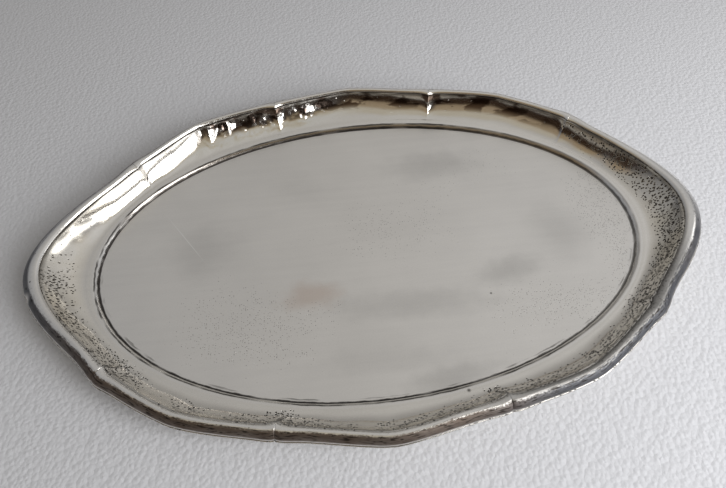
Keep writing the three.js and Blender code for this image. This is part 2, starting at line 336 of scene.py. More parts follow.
def sheet_rows(stations):
    """The sheet's top from the middle of the well to the lip's edge, as (zone, reach, points) rows.

    The zone runs from -1 to 0 over the well, then to 1 over the step, 2 over the ledge, 3 over the
    cavetto and 4 over the lip. The reach is how far outside the well's foot a row is, as far as the
    step, and beyond the step it is only large.
    """
    smooth_lip = stations.point + stations.inward * (LIP_INSET * stations.widening)[:, None]
    foot, out = well_feet(smooth_lip)
    rows = []
    for share in WELL_SHARES:
        plan = WELL_MIDDLE + (foot - WELL_MIDDLE) * share
        rows.append((share - 1, (share - 1) * WELL_HALF_WIDTH, in_space(plan, SHEET)))

    step = smooth_through(tuple(zip(STEP_PLACES, STEP_RISES)))
    for reach in (*GROOVE_REACHES, *step[:, 0]):
        rise = np.interp(reach, step[:, 0], step[:, 1])
        groove = GROOVE_DEPTH * math.exp(-((reach / GROOVE_WIDTH) ** 2))
        zone = reach / STEP_REACH if reach > 0 else reach / WELL_HALF_WIDTH
        rows.append((zone, reach, in_space(foot + out * reach, SHEET + rise - groove)))

    step_top = foot + out * STEP_REACH
    start = step_top + (smooth_lip - step_top) * LEDGE_SHARE
    for share in LEDGE_SHARES:
        plan = step_top + (start - step_top) * share
        height = SHEET + STEP_RISE + LEDGE_RISE * share
        rows.append((1 + share, FAR_FROM_STEP, in_space(plan, height)))

    low = SHEET + STEP_RISE + LEDGE_RISE
    high = CREST_HEIGHT - LIP_DROPS[-1]
    sweep = SIDE_SWEEP + (END_SWEEP - SIDE_SWEEP) * stations.at_end
    for share in CAVETTO_SHARES:
        across = np.sin(sweep * share) / np.sin(sweep)
        up = (1 - np.cos(sweep * share)) / (1 - np.cos(sweep))
        plan = start + (smooth_lip - start) * across[:, None]
        reach = CREASE_FOOT_REACH + (CREASE_REACHES[-1] - CREASE_FOOT_REACH) * across
        push = across * (crease_dip(stations, CREASE_DEPTHS[-1], reach) - shoulder_swell(stations))
        bulge = CAVETTO_STRAY * math.sin(math.pi * share) + CREST_STRAY * across
        push = push + bulge * wobble(stations.along, CAVETTO_WAVES, CAVETTO_PHASE + share)
        plan = plan + stations.inward * push[:, None]
        rows.append((2 + share, FAR_FROM_STEP, in_space(plan, low + (high - low) * up)))

    for inset in LIP_ROW_INSETS:
        drop = np.interp(inset, LIP_INSETS, LIP_DROPS)
        rows.append((4 - inset / LIP_INSET, FAR_FROM_STEP, rim_points(stations, inset, drop)))
    return rows


def behind(surface, depth):
    """A surface's points moved back by the sheet's thickness, with the creases eased."""
    along = np.roll(surface, -1, 1) - np.roll(surface, 1, 1)
    across = np.gradient(surface, axis=0)
    normal = np.cross(across, along)
    normal /= np.linalg.norm(normal, axis=2, keepdims=True)
    for _ in range(EASING_PASSES):
        normal = (np.roll(normal, 1, 1) + 2 * normal + np.roll(normal, -1, 1)) / 4
        padded = np.concatenate((normal[:1], normal, normal[-1:]))
        normal = (padded[:-2] + 2 * normal + padded[2:]) / 4
    normal /= np.linalg.norm(normal, axis=2, keepdims=True)
    return surface - normal * depth


# ---- Meshes ----


def band_faces(rows, columns, closed):
    """Faces between rows of vertices, with the column each corner's measurements come from."""
    last = columns if closed else columns - 1
    row, column = np.meshgrid(np.arange(rows - 1), np.arange(last), indexing="ij")
    row, column = row.ravel(), column.ravel()
    corner_rows = np.stack((row, row + 1, row + 1, row), axis=1)
    corner_columns = np.stack((column, column, column + 1, column + 1), axis=1)
    return corner_rows * columns + corner_columns % columns, corner_rows, corner_columns


def make_piece(name, points, faces, rim, measures, material, node):
    """A smooth mesh that rides on the body and stands for its CAD node."""
    mesh = bpy.data.meshes.new(name)
    mesh.from_pydata((points * MM).tolist(), [], faces)
    mesh.polygons.foreach_set("use_smooth", [True] * len(mesh.polygons))
    place = mesh.attributes.new("rim", "FLOAT_VECTOR", "CORNER")
    place.data.foreach_set("vector", (rim * MM).astype(np.float32).ravel())
    for measure, values in measures.items():
        attribute = mesh.attributes.new(measure, "FLOAT", "POINT")
        attribute.data.foreach_set("value", values.astype(np.float32).ravel())
    mesh.materials.append(material)
    mesh.validate()
    piece = bpy.data.objects.new(name, mesh)
    bpy.context.scene.collection.objects.link(piece)
    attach(piece, "root")
    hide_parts(node)


def make_sheet(stations, material):
    rows = sheet_rows(stations)
    top = np.array([points for _, _, points in rows])
    count = top.shape[1]
    beyond_well = range(len(WELL_SHARES), len(rows), 2)
    under = behind(top, SHEET)[sorted({*ROWS_UNDER_WELL, *beyond_well, len(rows) - 1})]
    under[..., 2] = np.maximum(under[..., 2], 0)
    edge = rim_points(stations, 0, LIP_DROPS[0] + SHEET / 2)[None]
    surface = dented(np.concatenate((top, edge, under[::-1])))
    hidden = 1 + len(under)
    zones = [zone for zone, _, _ in rows] + [UNDERSIDE] * hidden
    reaches = [reach for _, reach, _ in rows] + [FAR_FROM_STEP] * hidden

    faces, corner_rows, corner_columns = band_faces(len(surface), count, closed=True)
    along = np.append(stations.along, RIM_LENGTH)
    seat = np.linalg.norm(surface - surface[:1], axis=2).mean(1)
    rim = np.stack((along[corner_columns], seat[corner_rows], corner_rows * 0), axis=2)
    hub = list(range(count))
    base = [(len(surface) - 1) * count + k for k in reversed(range(count))]
    caps = np.zeros((2 * count, 3))
    measures = {
        "zone": np.repeat(zones, count),
        "reach": np.repeat(reaches, count) * MM,
        "crease": np.tile(np.exp(-stations.from_crease / CREASE_SPREAD), len(surface)),
    }
    make_piece(
        "sheet", surface.reshape(-1, 3), faces.tolist() + [hub, base],
        np.concatenate((rim.reshape(-1, 3), caps)), measures, material, "tray_body",
    )


def border_outline():
    """The border's closed section: in along the lip from the edge, then back over the top."""
    under_drops = np.interp(BORDER_UNDERSIDE, LIP_INSETS, LIP_DROPS) - SOLDER
    under = np.column_stack((BORDER_UNDERSIDE, under_drops))
    top = smooth_through(BORDER_TOP)
    top[:, 1] = np.maximum(top[:, 1], 0)
    return np.vstack((under, top[::-1]))


def make_border(lobe, material):
    distances = step_distances(lobe)
    distances[0] += MITRE_GAP / 2
    distances[-1] -= MITRE_GAP / 2
    stations = at_distances(lobe, distances)
    count = len(distances)
    outline = border_outline()
    size = len(outline)
    surface = dented(np.array([rim_points(stations, inset, drop) for inset, drop in outline]))
    faces, corner_rows, corner_columns = band_faces(size + 1, count, closed=False)
    faces = faces % (size * count)
    round_section = np.concatenate((outline, outline[:1]))
    length = np.concatenate(([0], np.cumsum(np.linalg.norm(np.diff(round_section, axis=0), axis=1))))
    rim = np.stack((stations.along[corner_columns], length[corner_rows], corner_rows * 0), axis=2)
    first = [k * count for k in reversed(range(size))]
    last = [(k + 1) * count - 1 for k in range(size)]
    caps = np.zeros((2 * size, 3))
    insets = np.where(np.arange(size) >= len(BORDER_UNDERSIDE), outline[:, 0], 0)
    measures = {"inset": np.repeat(insets, count) * MM}
    make_piece(
        f"border_length_{lobe.name}", surface.reshape(-1, 3), faces.tolist() + [first, last],
        np.concatenate((rim.reshape(-1, 3), caps)), measures, material,
        f"border_{lobe.name}",
    )


# ---- Materials ----

SILVER = (0.9, 0.88, 0.845)
YELLOWED = (0.8, 0.72, 0.56)
# Near black: tarnish, and the painted shade along the near wall's creases.
TARNISH_AND_CREASE_SHADE = (0.028, 0.023, 0.02)
BROWN = (0.13, 0.09, 0.065)
# Painted reflection: the blue-grey given to the border's flank at the ends and near right.
REFLECTED_BLUE_GREY = (0.08, 0.084, 0.1)
COPPERY = (0.85, 0.68, 0.57)
# Painted reflection of the dark room, laid on the far wall in patches.
REFLECTED_DARK_BROWN = (0.1, 0.055, 0.035)
SCRATCHED = (1, 0.99, 0.96)
FLOOR_COLOUR = (0.735, 0.74, 0.765)

# Roughness of clean silver, and what the well, its mottling and tarnish add to it.
SHEET_ROUGHNESS = 0.13
BORDER_ROUGHNESS = 0.16
WELL_ROUGHNESS = 0.18
MOTTLE_ROUGHNESS = 0.12
TARNISH_ROUGHNESS = 0.3
FLOOR_ROUGHNESS = 0.62

# Relief, from its lowest to its highest.
HAMMERED_SHEET = 0.16
HAMMERED_BORDER = 0.1
BEATEN = 1.8
TOOL_MARK = 0.25
BRUSHED = 0.012
GRAIN_BESIDE_SCRATCHES = 0.7
SHEET_PIT = 0.07
BORDER_PIT = 0.04
FLOOR_BEAD = 0.25
FLOOR_GRAIN = 0.1

# Noise patterns: how large a lump is, how it is stretched, and a shift that keeps each one apart.
MOTTLE = dict(size=46, detail=3)
SMEARS = dict(size=3.2, detail=3, stretch=(14, 1, 1), shift=5)
GRAIN = dict(size=0.8, shift=9)
YELLOW_PATCHES = dict(size=14, detail=3, shift=3)
DARK_REFLECTION_PATCHES = dict(size=3.2, detail=4, stretch=(4, 1, 1), shift=15)
STEP_WAVER = dict(size=2.2, detail=3, stretch=(3, 1, 1), shift=2)
LINE_BREAKS = dict(size=16, stretch=(1.4, 1, 1), shift=11)
PIT_PATCHES = dict(size=22, detail=3, shift=7)
RIM_STREAKS = dict(size=0.6, detail=3, stretch=(16, 1, 1), shift=13)
HAMMERING = dict(size=9, detail=1, shift=6)
BEATING = dict(size=8, stretch=(1.5, 1, 1), shift=17)
FINE_SCRATCHES = dict(size=0.5, stretch=(40, 1, 1), shift=21)
BORDER_MOTTLE = dict(size=18, detail=3)
BORDER_GRAIN = dict(size=0.7, stretch=(2, 1, 1), shift=9)
BORDER_WAVER = dict(size=2, detail=3, stretch=(5, 1, 1), shift=2)
BORDER_TEETH = dict(size=0.7, detail=3, stretch=(1.5, 1, 1), shift=19)
BORDER_STREAKS = dict(size=0.7, detail=3, stretch=(7, 1, 1), shift=13)
BORDER_HAMMERING = dict(size=7, detail=1, shift=6)
FLOOR_NOISE = dict(size=1.3, detail=3)

# Pits: the cell that each one sits in, how it is stretched, and the largest radius as a share of it.
FINE_PITS = dict(size=0.8, stretch=(1.3, 0.8, 0.8), largest=0.36)
COARSE_PITS = dict(size=0.85, stretch=(1.6, 0.9, 1), shift=4, largest=0.47)
BORDER_PITS = dict(size=1.2, stretch=(2, 1, 1), shift=4)

# How far the silver's lightness swings with its noise, and how much painted shade darkens the border on
# the near right and at the right end.
MOTTLE_SWING = 0.16
SMEAR_SWING = 0.07
GRAIN_SWING = 0.1
BORDER_MOTTLE_SWING = 0.25
BORDER_GRAIN_SWING = 0.16
NEAR_RIGHT_PAINTED_SHADE = 0.64
RIGHT_END_PAINTED_SHADE = 0.12
FLOOR_SWING = 0.14

# How strong each colour, each kind of tarnish and the painted shade along the creases are at their
# strongest.
COPPERY_SHARE = 0.45
YELLOW_START = -0.12
YELLOW_SPAN = 0.9
YELLOW_BEYOND_STEP = 0.12
BROWN_ON_STEP = 0.55
DARK_REFLECTION_SHARE = 0.9
WELL_PIT_SHARE = 0.5
DOT_SHARE = 0.8
WALL_PIT_SHARE = 0.95
STREAK_SHARE = 0.85
CREASE_SHADE_SHARE = 0.75
NEAR_SEAM_DROP = 0.5
BORDER_PIT_SHARE = 0.8
BORDER_SEAM_SHARE = 0.5

# Lines of tarnish round the step: how far each is outside the well's foot, and its half width.
CORNER_LINE = (0.1, 0.9)
LINE_BESIDE = (1.75, 0.6)
LINE_INSIDE = (-1.3, 0.45)
LINE_WAVER = 1.1

# The border's dark outer flank, brown tarnish with a painted blue-grey reflection at the ends and near
# right: how far in it comes, how much less at the ends, how soft, wavy and toothed its edge is, and how
# dark the stain.
FLANK_WIDTH = 3
FLANK_NARROWING = 0.6
FLANK_FADE = 0.7
FLANK_WAVER = 1.2
FLANK_TEETH = 5
NEAR_TEETH = 0.5
FLANK_STAIN_AND_REFLECTION = 0.62
FLANK_STAIN_AND_REFLECTION_SPAN = 0.5

# Darker blots on the well: place, reach, how dark, and the angle they lie at.
WELL_CLOUDS = (
    ((46, 52), (40, 17), 0.16, 0),
    ((107, -6), (22, 30), 0.11, 20),
    ((-92, 7), (30, 27), 0.13, 0),
    ((72, -28), (26, 12), 0.17, 10),
    ((-35, 43), (26, 20), 0.06, 0),
    ((0, -70), (46, 11), 0.07, 0),
    ((30, -84), (34, 10), 0.17, 8),
    ((-33, -31), (26, 12), 0.1, 0),
    ((18, -42), (62, 12), 0.13, -3),
)
CLOUD_RAGGEDNESS = 0.35
COPPERY_BLOT = dict(spot=(-33, -31), reach=(22, 12), ragged=0.4)

# Where fine pits gather on the well: place, reach, and how dense they are beyond the fewest.
FEWEST_PITS = 0.07
WELL_PITS = (
    ((-60, -50), (66, 34), 0.55),
    ((-84, -30), (50, 34), 0.3),
    ((12, 8), (72, 40), 0.4),
    ((84, -50), (60, 40), 0.35),
    ((134, 0), (20, 66), 0.9),
    ((112, -50), (60, 16), 0.5),
    ((72, 46), (66, 34), 0.25),
)

PIT_RAGGEDNESS = 0.5

# How dense the coarse pits are on parts of the sheet beyond the well. They add up.
EVERYWHERE_PITS = 0.03
LEDGE_PITS = 0.07
WALL_PITS = 0.12
END_WALL_PITS = 0.95
LEFT_END_SHARE = 0.85
NEAR_PATCH_PITS = 0.7
NEAR_RIGHT_PITS = 0.35
CREASE_FOOT_PITS = 1.4

# How dense the border's pits are where they are densest.
MOST_BORDER_PITS = 0.35

# Two dark dots as places and reaches, and the long scratch on the left half of the well.
DOTS = (((60, -41), 0.9), ((37, -91), 1.3))
SCRATCH = dict(spot=(-101.5, 16), reach=(28, 0.4), angle=-56)

# Raised tool marks on the near left wall: place, half length, and angle.
TOOL_MARKS = (
    ((-147, -47.4), 9, -60),
    ((-121.6, -69.1), 11, -31),
    ((-141.8, -26), 6, -75),
)
TOOL_MARK_REACH = 0.45

# The patch of the left end's border that the knock has rubbed bright.
RUBBED_PATCH = dict(spot=tuple(DENT_PLACE[:2].tolist()), reach=(4, 4.5))

# How soft the edges of ridges, blots and specks are, as shares of their own size.
RIDGE_CORE = 0.35
BLOT_CORE = 0.1
BLOT_LUMP = 0.7
SPECK_SPREAD = 0.35
SPECK_EDGE = 0.14

FLOOR_BEADS_PER_MM = 0.45


class Tree:
    """A node tree in the making, with short ways to add to it."""

    def __init__(self, tree):
        self.tree = tree

    def node(self, kind, **settings):
        node = self.tree.nodes.new(kind)
        for name, value in settings.items():
            setattr(node, name, value)
        return node

    def put(self, socket, value):
        if isinstance(value, bpy.types.NodeSocket):
            self.tree.links.new(value, socket)
        else:
            socket.default_value = value

    def math(self, operation, *values, clamp=False):
        node = self.node("ShaderNodeMath", operation=operation, use_clamp=clamp)
        for socket, value in zip(node.inputs, values):
            self.put(socket, value)
        return node.outputs[0]

    def times(self, *values):
        return reduce(lambda product, value: self.math("MULTIPLY", product, value), values)

    def total(self, *values):
        return reduce(lambda result, value: self.math("ADD", result, value), values)

    def most(self, *values):
        return reduce(lambda result, value: self.math("MAXIMUM", result, value), values)

    def plus(self, base, value, factor, clamp=False):
        """The base, with the value times a factor added to it."""
        return self.math("MULTIPLY_ADD", value, factor, base, clamp=clamp)

    def split(self, vector):
        node = self.node("ShaderNodeSeparateXYZ")
        self.put(node.inputs[0], vector)
        return node.outputs

    def mix(self, share, first, second, blend="MIX"):
        node = self.node("ShaderNodeMix", data_type="RGBA", blend_type=blend)
        self.put(node.inputs["Factor"], share)
        for socket, colour in ((node.inputs[6], first), (node.inputs[7], second)):
            self.put(socket, colour if isinstance(colour, bpy.types.NodeSocket) else (*colour, 1))
        return node.outputs[2]

    def ramp(self, factor, stops):
        node = self.node("ShaderNodeValToRGB")
        self.put(node.inputs[0], factor)
        elements = node.color_ramp.elements
        while len(elements) < len(stops):
            elements.new(0.5)
        for element, (place, colour) in zip(elements, stops):
            element.position = place
            element.color = (*colour, 1)
        return node.outputs[0]


class Recipe(Tree):
    """A material in the making. Lengths are in millimetres."""

    def __init__(self, name):
        self.material = bpy.data.materials.new(name)
        self.material.use_nodes = True
        super().__init__(self.material.node_tree)
        self.shader = self.tree.nodes["Principled BSDF"]

    def vector(self, operation, *values):
        node = self.node("ShaderNodeVectorMath", operation=operation)
        for socket, value in zip(node.inputs, values):
            self.put(socket, value)
        return node.outputs["Value"] if operation == "LENGTH" else node.outputs["Vector"]

    def place(self):
        """Where a point is."""
        where = self.node("ShaderNodeTexCoord").outputs["Object"]
        return self.vector("MULTIPLY", where, (1 / MM, 1 / MM, 1 / MM))

    def rim_place(self):
        """How far round the rim and across it a point is."""
        where = self.node("ShaderNodeAttribute", attribute_name="rim").outputs["Vector"]
        return self.vector("MULTIPLY", where, (1 / MM, 1 / MM, 1 / MM))

    def measure(self, name, scale=1.0):
        value = self.node("ShaderNodeAttribute", attribute_name=name).outputs["Fac"]
        return value if scale == 1 else self.math("MULTIPLY", value, scale)

    def stray(self, base, noise, span):
        """The base, moved up and down by noise over a span."""
        return self.plus(base, self.math("SUBTRACT", noise, 0.5), span)

    def rest(self, share):
        return self.math("SUBTRACT", 1, share)

    def between(self, value, low, high, first, last):
        """A smooth change from first to last as the value goes from low to high."""
        node = self.node("ShaderNodeMapRange", interpolation_type="SMOOTHSTEP")
        for socket, number in zip(node.inputs, (value, low, high, first, last)):
            self.put(socket, number)
        return node.outputs[0]

    def rise(self, value, low, high):
        return self.between(value, low, high, 0, 1)

    def fall(self, value, low, high):
        return self.between(value, low, high, 1, 0)

    def ridge(self, value, middle, width):
        """1 where the value is at the middle, and 0 from width away on."""
        distance = self.math("ABSOLUTE", self.math("SUBTRACT", value, middle))
        return self.fall(distance, width * RIDGE_CORE, width)

    def pattern(self, where, size, stretch, shift):
        """Places for a texture whose cells are about one size, stretched by factors along the axes."""
        factors = tuple(1 / (size * factor) for factor in stretch)
        return self.vector("ADD", self.vector("MULTIPLY", where, factors), (shift, shift, shift))

    def noise(self, where, size, detail=2, stretch=(1, 1, 1), shift=0):
        node = self.node("ShaderNodeTexNoise")
        self.put(node.inputs["Vector"], self.pattern(where, size, stretch, shift))
        self.put(node.inputs["Scale"], 1)
        self.put(node.inputs["Detail"], detail)
        return node.outputs[0]

    def specks(self, where, amount, size, stretch=(1, 1, 1), shift=0, largest=0.42):
        """Scattered specks. The amount is the share of cells that hold one."""
        node = self.node("ShaderNodeTexVoronoi", feature="F1")
        self.put(node.inputs["Vector"], self.pattern(where, size, stretch, shift))
        self.put(node.inputs["Scale"], 1)
        pick = self.node("ShaderNodeSeparateColor")
        self.put(pick.inputs[0], node.outputs["Color"])
        spare = self.math("SUBTRACT", amount, pick.outputs[0])
        radius = self.between(spare, 0, SPECK_SPREAD, 0, largest)
        edge = self.math("SUBTRACT", radius, node.outputs["Distance"])
        return self.rise(edge, 0, SPECK_EDGE)

    def blot(self, where, spot, reach, ragged=0, angle=0):
        """1 in the middle of a blot on the plan, fading to 0 at its reach, with a ragged outline."""
        x, y = spot
        offset = self.vector("SUBTRACT", where, (x, y, 0))
        if angle:
            turn = self.node("ShaderNodeVectorRotate", rotation_type="Z_AXIS")
            self.put(turn.inputs["Vector"], offset)
            self.put(turn.inputs["Angle"], -math.radians(angle))
            offset = turn.outputs[0]
        scaled = self.vector("MULTIPLY", offset, (1 / reach[0], 1 / reach[1], 0))
        distance = self.vector("LENGTH", scaled)
        if ragged:
            lumps = self.noise(where, min(reach) * BLOT_LUMP, detail=3, shift=x)
            distance = self.stray(distance, lumps, 2 * ragged)
        return self.fall(distance, BLOT_CORE, 1)

    def shade(self, colour, factor):
        """A colour made lighter or darker by a factor."""
        node = self.node("ShaderNodeVectorMath", operation="SCALE")
        self.put(node.inputs[0], colour)
        self.put(node.inputs["Scale"], factor)
        return node.outputs[0]

    def bump(self, height, depth, under=None):
        """Relief whose whole range is the depth. Where the depth is negative it goes down."""
        node = self.node("ShaderNodeBump")
        self.put(node.inputs["Strength"], 1)
        self.put(node.inputs["Distance"], depth * MM)
        self.put(node.inputs["Height"], height)
        if under is not None:
            self.put(node.inputs["Normal"], under)
        return node.outputs[0]

    def finish(self, colour, roughness, normal, metallic=1):
        self.put(self.shader.inputs["Base Color"], colour)
        self.put(self.shader.inputs["Roughness"], roughness)
        self.put(self.shader.inputs["Normal"], normal)
        self.put(self.shader.inputs["Metallic"], metallic)
        return self.material


# ---- The sheet's silver ----


def sheet_places(recipe):
    """What is measured on the sheet, the parts of it that look different, and its shared noise."""
    place = recipe.place()
    rim = recipe.rim_place()
    x, y, _ = recipe.split(place)
    zone = recipe.measure("zone")
    reach = recipe.measure("reach", 1 / MM)
    return SimpleNamespace(
        place=place,
        rim=rim,
        x=x,
        y=y,
        zone=zone,
        reach=reach,
        crease=recipe.measure("crease"),
        in_well=recipe.fall(reach, -0.6, 0.2),
        wall=recipe.rise(zone, 2.05, 2.4),
        upper_wall=recipe.rise(zone, 2.1, 2.6),
        on_top=recipe.fall(zone, 4.2, 4.6),
        near=recipe.fall(y, -30, 30),
        near_right=recipe.times(recipe.rise(x, 40, 100), recipe.fall(y, -60, -20)),
        far_side=recipe.rise(y, 55, 85),
        mottle=recipe.noise(place, **MOTTLE),
        grain=recipe.noise(place, **GRAIN),
        line_breaks=recipe.noise(rim, **LINE_BREAKS),
        patches=recipe.rise(recipe.noise(rim, **PIT_PATCHES), 0.42, 0.62),
    )


def sheet_light(recipe, at):
    """How light the silver is: mottled, smeared along the tray, and darker in some blots."""
    light = recipe.stray(1, at.mottle, MOTTLE_SWING)
    light = recipe.stray(light, recipe.noise(at.place, **SMEARS), SMEAR_SWING)
    light = recipe.stray(light, at.grain, GRAIN_SWING)
    for spot, reach, depth, angle in WELL_CLOUDS:
        cloud = recipe.blot(at.place, spot, reach, CLOUD_RAGGEDNESS, angle)
        light = recipe.plus(light, recipe.times(cloud, at.in_well), -depth)
    return light


def sheet_colour(recipe, at):
    """A coppery blot, yellow on the end walls, brown on the far step, a painted reflection of the dark
    room as dark brown patches on the far wall, and one long scratch.
    """
    coppery = recipe.times(recipe.blot(at.place, **COPPERY_BLOT), at.in_well, COPPERY_SHARE)
    colour = recipe.mix(coppery, SILVER, COPPERY)
    noise = recipe.noise(at.place, **YELLOW_PATCHES)
    patches = recipe.plus(YELLOW_START, noise, YELLOW_SPAN, clamp=True)
    ends = recipe.rise(recipe.math("ABSOLUTE", at.x), 118, 166)
    colour = recipe.mix(recipe.times(patches, ends, at.wall), colour, YELLOWED)
    beyond_step = recipe.times(recipe.rise(at.zone, 0.9, 1.2), YELLOW_BEYOND_STEP)
    colour = recipe.mix(beyond_step, colour, YELLOWED)
    on_step = recipe.times(recipe.ridge(at.reach, 0.9, 1.6), recipe.rise(at.y, 10, 50), BROWN_ON_STEP)
    colour = recipe.mix(on_step, colour, BROWN)
    # Painted reflection: dark brown patches on the upper far wall stand in for the dark room that it
    # faces.
    dark_reflection_patches = recipe.times(
        recipe.rise(recipe.noise(at.rim, **DARK_REFLECTION_PATCHES), 0.46, 0.56),
        recipe.rise(at.zone, 2.45, 2.7), at.far_side, at.on_top, recipe.rise(at.x, -100, -90),
        DARK_REFLECTION_SHARE,
    )
    colour = recipe.mix(dark_reflection_patches, colour, REFLECTED_DARK_BROWN)
    scratch = recipe.blot(at.place, **SCRATCH)
    return recipe.mix(scratch, recipe.shade(colour, sheet_light(recipe, at)), SCRATCHED)


def step_lines(recipe, at):
    """Tarnish in the corner of the step, with a broken line beside it and another inside it."""
    wavy = recipe.stray(at.reach, recipe.noise(at.rim, **STEP_WAVER), LINE_WAVER)
    corner = recipe.times(
        recipe.ridge(wavy, *CORNER_LINE),
        recipe.between(at.line_breaks, 0.28, 0.5, 0.55, 0.95),
        recipe.between(at.x, 40, 120, 1, 0.75),
    )
    beside = recipe.times(
        recipe.ridge(wavy, *LINE_BESIDE),
        recipe.between(at.line_breaks, 0.36, 0.54, 0.1, 0.85),
        recipe.between(at.x, 70, 130, 1, 0.3),
    )
    inside = recipe.times(
        recipe.ridge(wavy, *LINE_INSIDE),
        recipe.between(at.line_breaks, 0.5, 0.66, 0, 0.6),
        at.near,
    )
    return recipe.most(corner, beside, inside)


def well_pits(recipe, at):
    """Fine pits on the well, and its two dark dots."""
    amount = FEWEST_PITS
    for spot, reach, dense in WELL_PITS:
        gathered = recipe.blot(at.place, spot, reach, PIT_RAGGEDNESS)
        amount = recipe.plus(amount, gathered, dense)
    pits = recipe.times(recipe.specks(at.place, amount, **FINE_PITS), at.in_well, WELL_PIT_SHARE)
    for spot, reach in DOTS:
        dot = recipe.times(recipe.blot(at.place, spot, (reach, reach)), DOT_SHARE)
        pits = recipe.most(pits, dot)
    return pits


def wall_pits(recipe, at):
    """Coarse pits: most on the end walls, in patches on the near wall, and at the creases' feet."""
    right = recipe.rise(at.x, 120, 160)
    left = recipe.times(recipe.fall(at.x, -165, -140), recipe.fall(at.y, -20, 15), LEFT_END_SHARE)
    at_ends = recipe.plus(WALL_PITS, recipe.most(right, left), END_WALL_PITS)
    amount = recipe.total(
        recipe.times(at.upper_wall, at_ends),
        recipe.times(at.upper_wall, at.patches, at.near, NEAR_PATCH_PITS),
        recipe.times(at.upper_wall, at.near_right, NEAR_RIGHT_PITS),
        recipe.times(at.crease, recipe.rise(at.zone, 1.9, 2.3), at.near, CREASE_FOOT_PITS),
        recipe.times(recipe.rise(at.zone, 1, 2), LEDGE_PITS),
    )
    return recipe.specks(at.rim, recipe.plus(EVERYWHERE_PITS, amount, at.on_top), **COARSE_PITS)


def wall_tarnish_and_crease_shade(recipe, at):
    """Streaks beside the near rim, painted shade along the creases, and a dark line against the border."""
    streaks = recipe.times(
        recipe.rise(recipe.noise(at.rim, **RIM_STREAKS), 0.52, 0.66),
        recipe.times(recipe.ridge(at.zone, 2.84, 0.45), at.near, recipe.most(at.patches, at.near_right)),
        STREAK_SHARE,
    )
    # Painted shade: dark lines along the creases on the near wall.
    crease_shade = recipe.times(
        recipe.rise(at.crease, 0.86, 0.97), recipe.rise(at.zone, 2.3, 2.6), at.on_top, at.near,
        CREASE_SHADE_SHARE,
    )
    seam = recipe.times(
        recipe.rise(at.zone, 2.91, 3), recipe.between(at.line_breaks, 0.3, 0.55, 0.3, 0.85),
        at.on_top, recipe.plus(1, at.near, -NEAR_SEAM_DROP),
    )
    return recipe.most(streaks, crease_shade, seam)


def sheet_relief(recipe, at, pits):
    """Hammer marks on the wall, its beaten part, tool marks, fine scratches and pits."""
    hammering = recipe.times(recipe.noise(at.rim, **HAMMERING), at.wall)
    normal = recipe.bump(hammering, HAMMERED_SHEET)
    beaten_part = recipe.times(
        recipe.rise(at.x, -99, -89), recipe.fall(at.x, -35, -10), at.far_side, at.wall
    )
    beating = recipe.times(recipe.noise(at.rim, **BEATING), beaten_part)
    normal = recipe.bump(beating, BEATEN, normal)
    for spot, length, angle in TOOL_MARKS:
        mark = recipe.blot(at.place, spot, (length, TOOL_MARK_REACH), angle=angle)
        normal = recipe.bump(mark, TOOL_MARK, normal)
    scratches = recipe.noise(at.place, **FINE_SCRATCHES)
    scratches = recipe.total(scratches, recipe.times(at.grain, GRAIN_BESIDE_SCRATCHES))
    normal = recipe.bump(scratches, BRUSHED, normal)
    return recipe.bump(pits, -SHEET_PIT, normal)


def sheet_material():
    """Old silver: darker blots, pits and fine scratches, black in the corner of the step."""
    recipe = Recipe("sheet_silver")
    at = sheet_places(recipe)
    fine, coarse = well_pits(recipe, at), wall_pits(recipe, at)
    # Tarnish and pits, with the painted shade along the near wall's creases.
    tarnish = recipe.most(
        step_lines(recipe, at), wall_tarnish_and_crease_shade(recipe, at), fine, recipe.times(coarse, WALL_PIT_SHARE)
    )
    colour = recipe.mix(tarnish, sheet_colour(recipe, at), TARNISH_AND_CREASE_SHADE)
    roughness = recipe.plus(SHEET_ROUGHNESS, at.in_well, WELL_ROUGHNESS)
    roughness = recipe.stray(roughness, at.mottle, MOTTLE_ROUGHNESS)
    roughness = recipe.plus(roughness, tarnish, TARNISH_ROUGHNESS, clamp=True)
    return recipe.finish(colour, roughness, sheet_relief(recipe, at, recipe.most(fine, coarse)))


# ---- The border's silver ----


def border_places(recipe):
    """What is measured on the border, the parts of it that look different, and its shared noise."""
    place = recipe.place()
    rim = recipe.rim_place()
    x, y, _ = recipe.split(place)
    near_right = recipe.times(recipe.rise(x, 25, 80), recipe.fall(y, -50, -20))
    return SimpleNamespace(
        place=place,
        rim=rim,
        inset=recipe.measure("inset", 1 / MM),
        near=recipe.fall(y, -70, 0),
        near_right=near_right,
        far_right=recipe.times(recipe.rise(x, 100, 150), recipe.rise(y, -30, 10)),
        right_end=recipe.rise(x, 150, 174),
        ends=recipe.most(recipe.rise(recipe.math("ABSOLUTE", x), 120, 172), near_right),
        mottle=recipe.noise(place, **BORDER_MOTTLE),
        grain=recipe.noise(rim, **BORDER_GRAIN),
    )


def border_tone_and_painted_shade(recipe, at):
    """How light the silver is: mottled and grained, with painted shade on the near right and at the right
    end.
    """
    light = recipe.stray(1, at.mottle, BORDER_MOTTLE_SWING)
    light = recipe.stray(light, at.grain, BORDER_GRAIN_SWING)
    # Painted shade: the border is darkened on the near right and at the right end.
    light = recipe.plus(light, at.near_right, -NEAR_RIGHT_PAINTED_SHADE)
    return recipe.plus(light, at.right_end, -RIGHT_END_PAINTED_SHADE)


def ragged_inset(recipe, at):
    """The inset, wavering along the rim, and toothed on the near side."""
    wavy = recipe.stray(at.inset, recipe.noise(at.rim, **BORDER_WAVER), FLANK_WAVER)
    teeth = recipe.math("SUBTRACT", recipe.noise(at.rim, **BORDER_TEETH), 0.5)
    toothed = recipe.most(at.near_right, recipe.times(at.near, NEAR_TEETH))
    return recipe.plus(wavy, recipe.times(teeth, toothed), FLANK_TEETH)


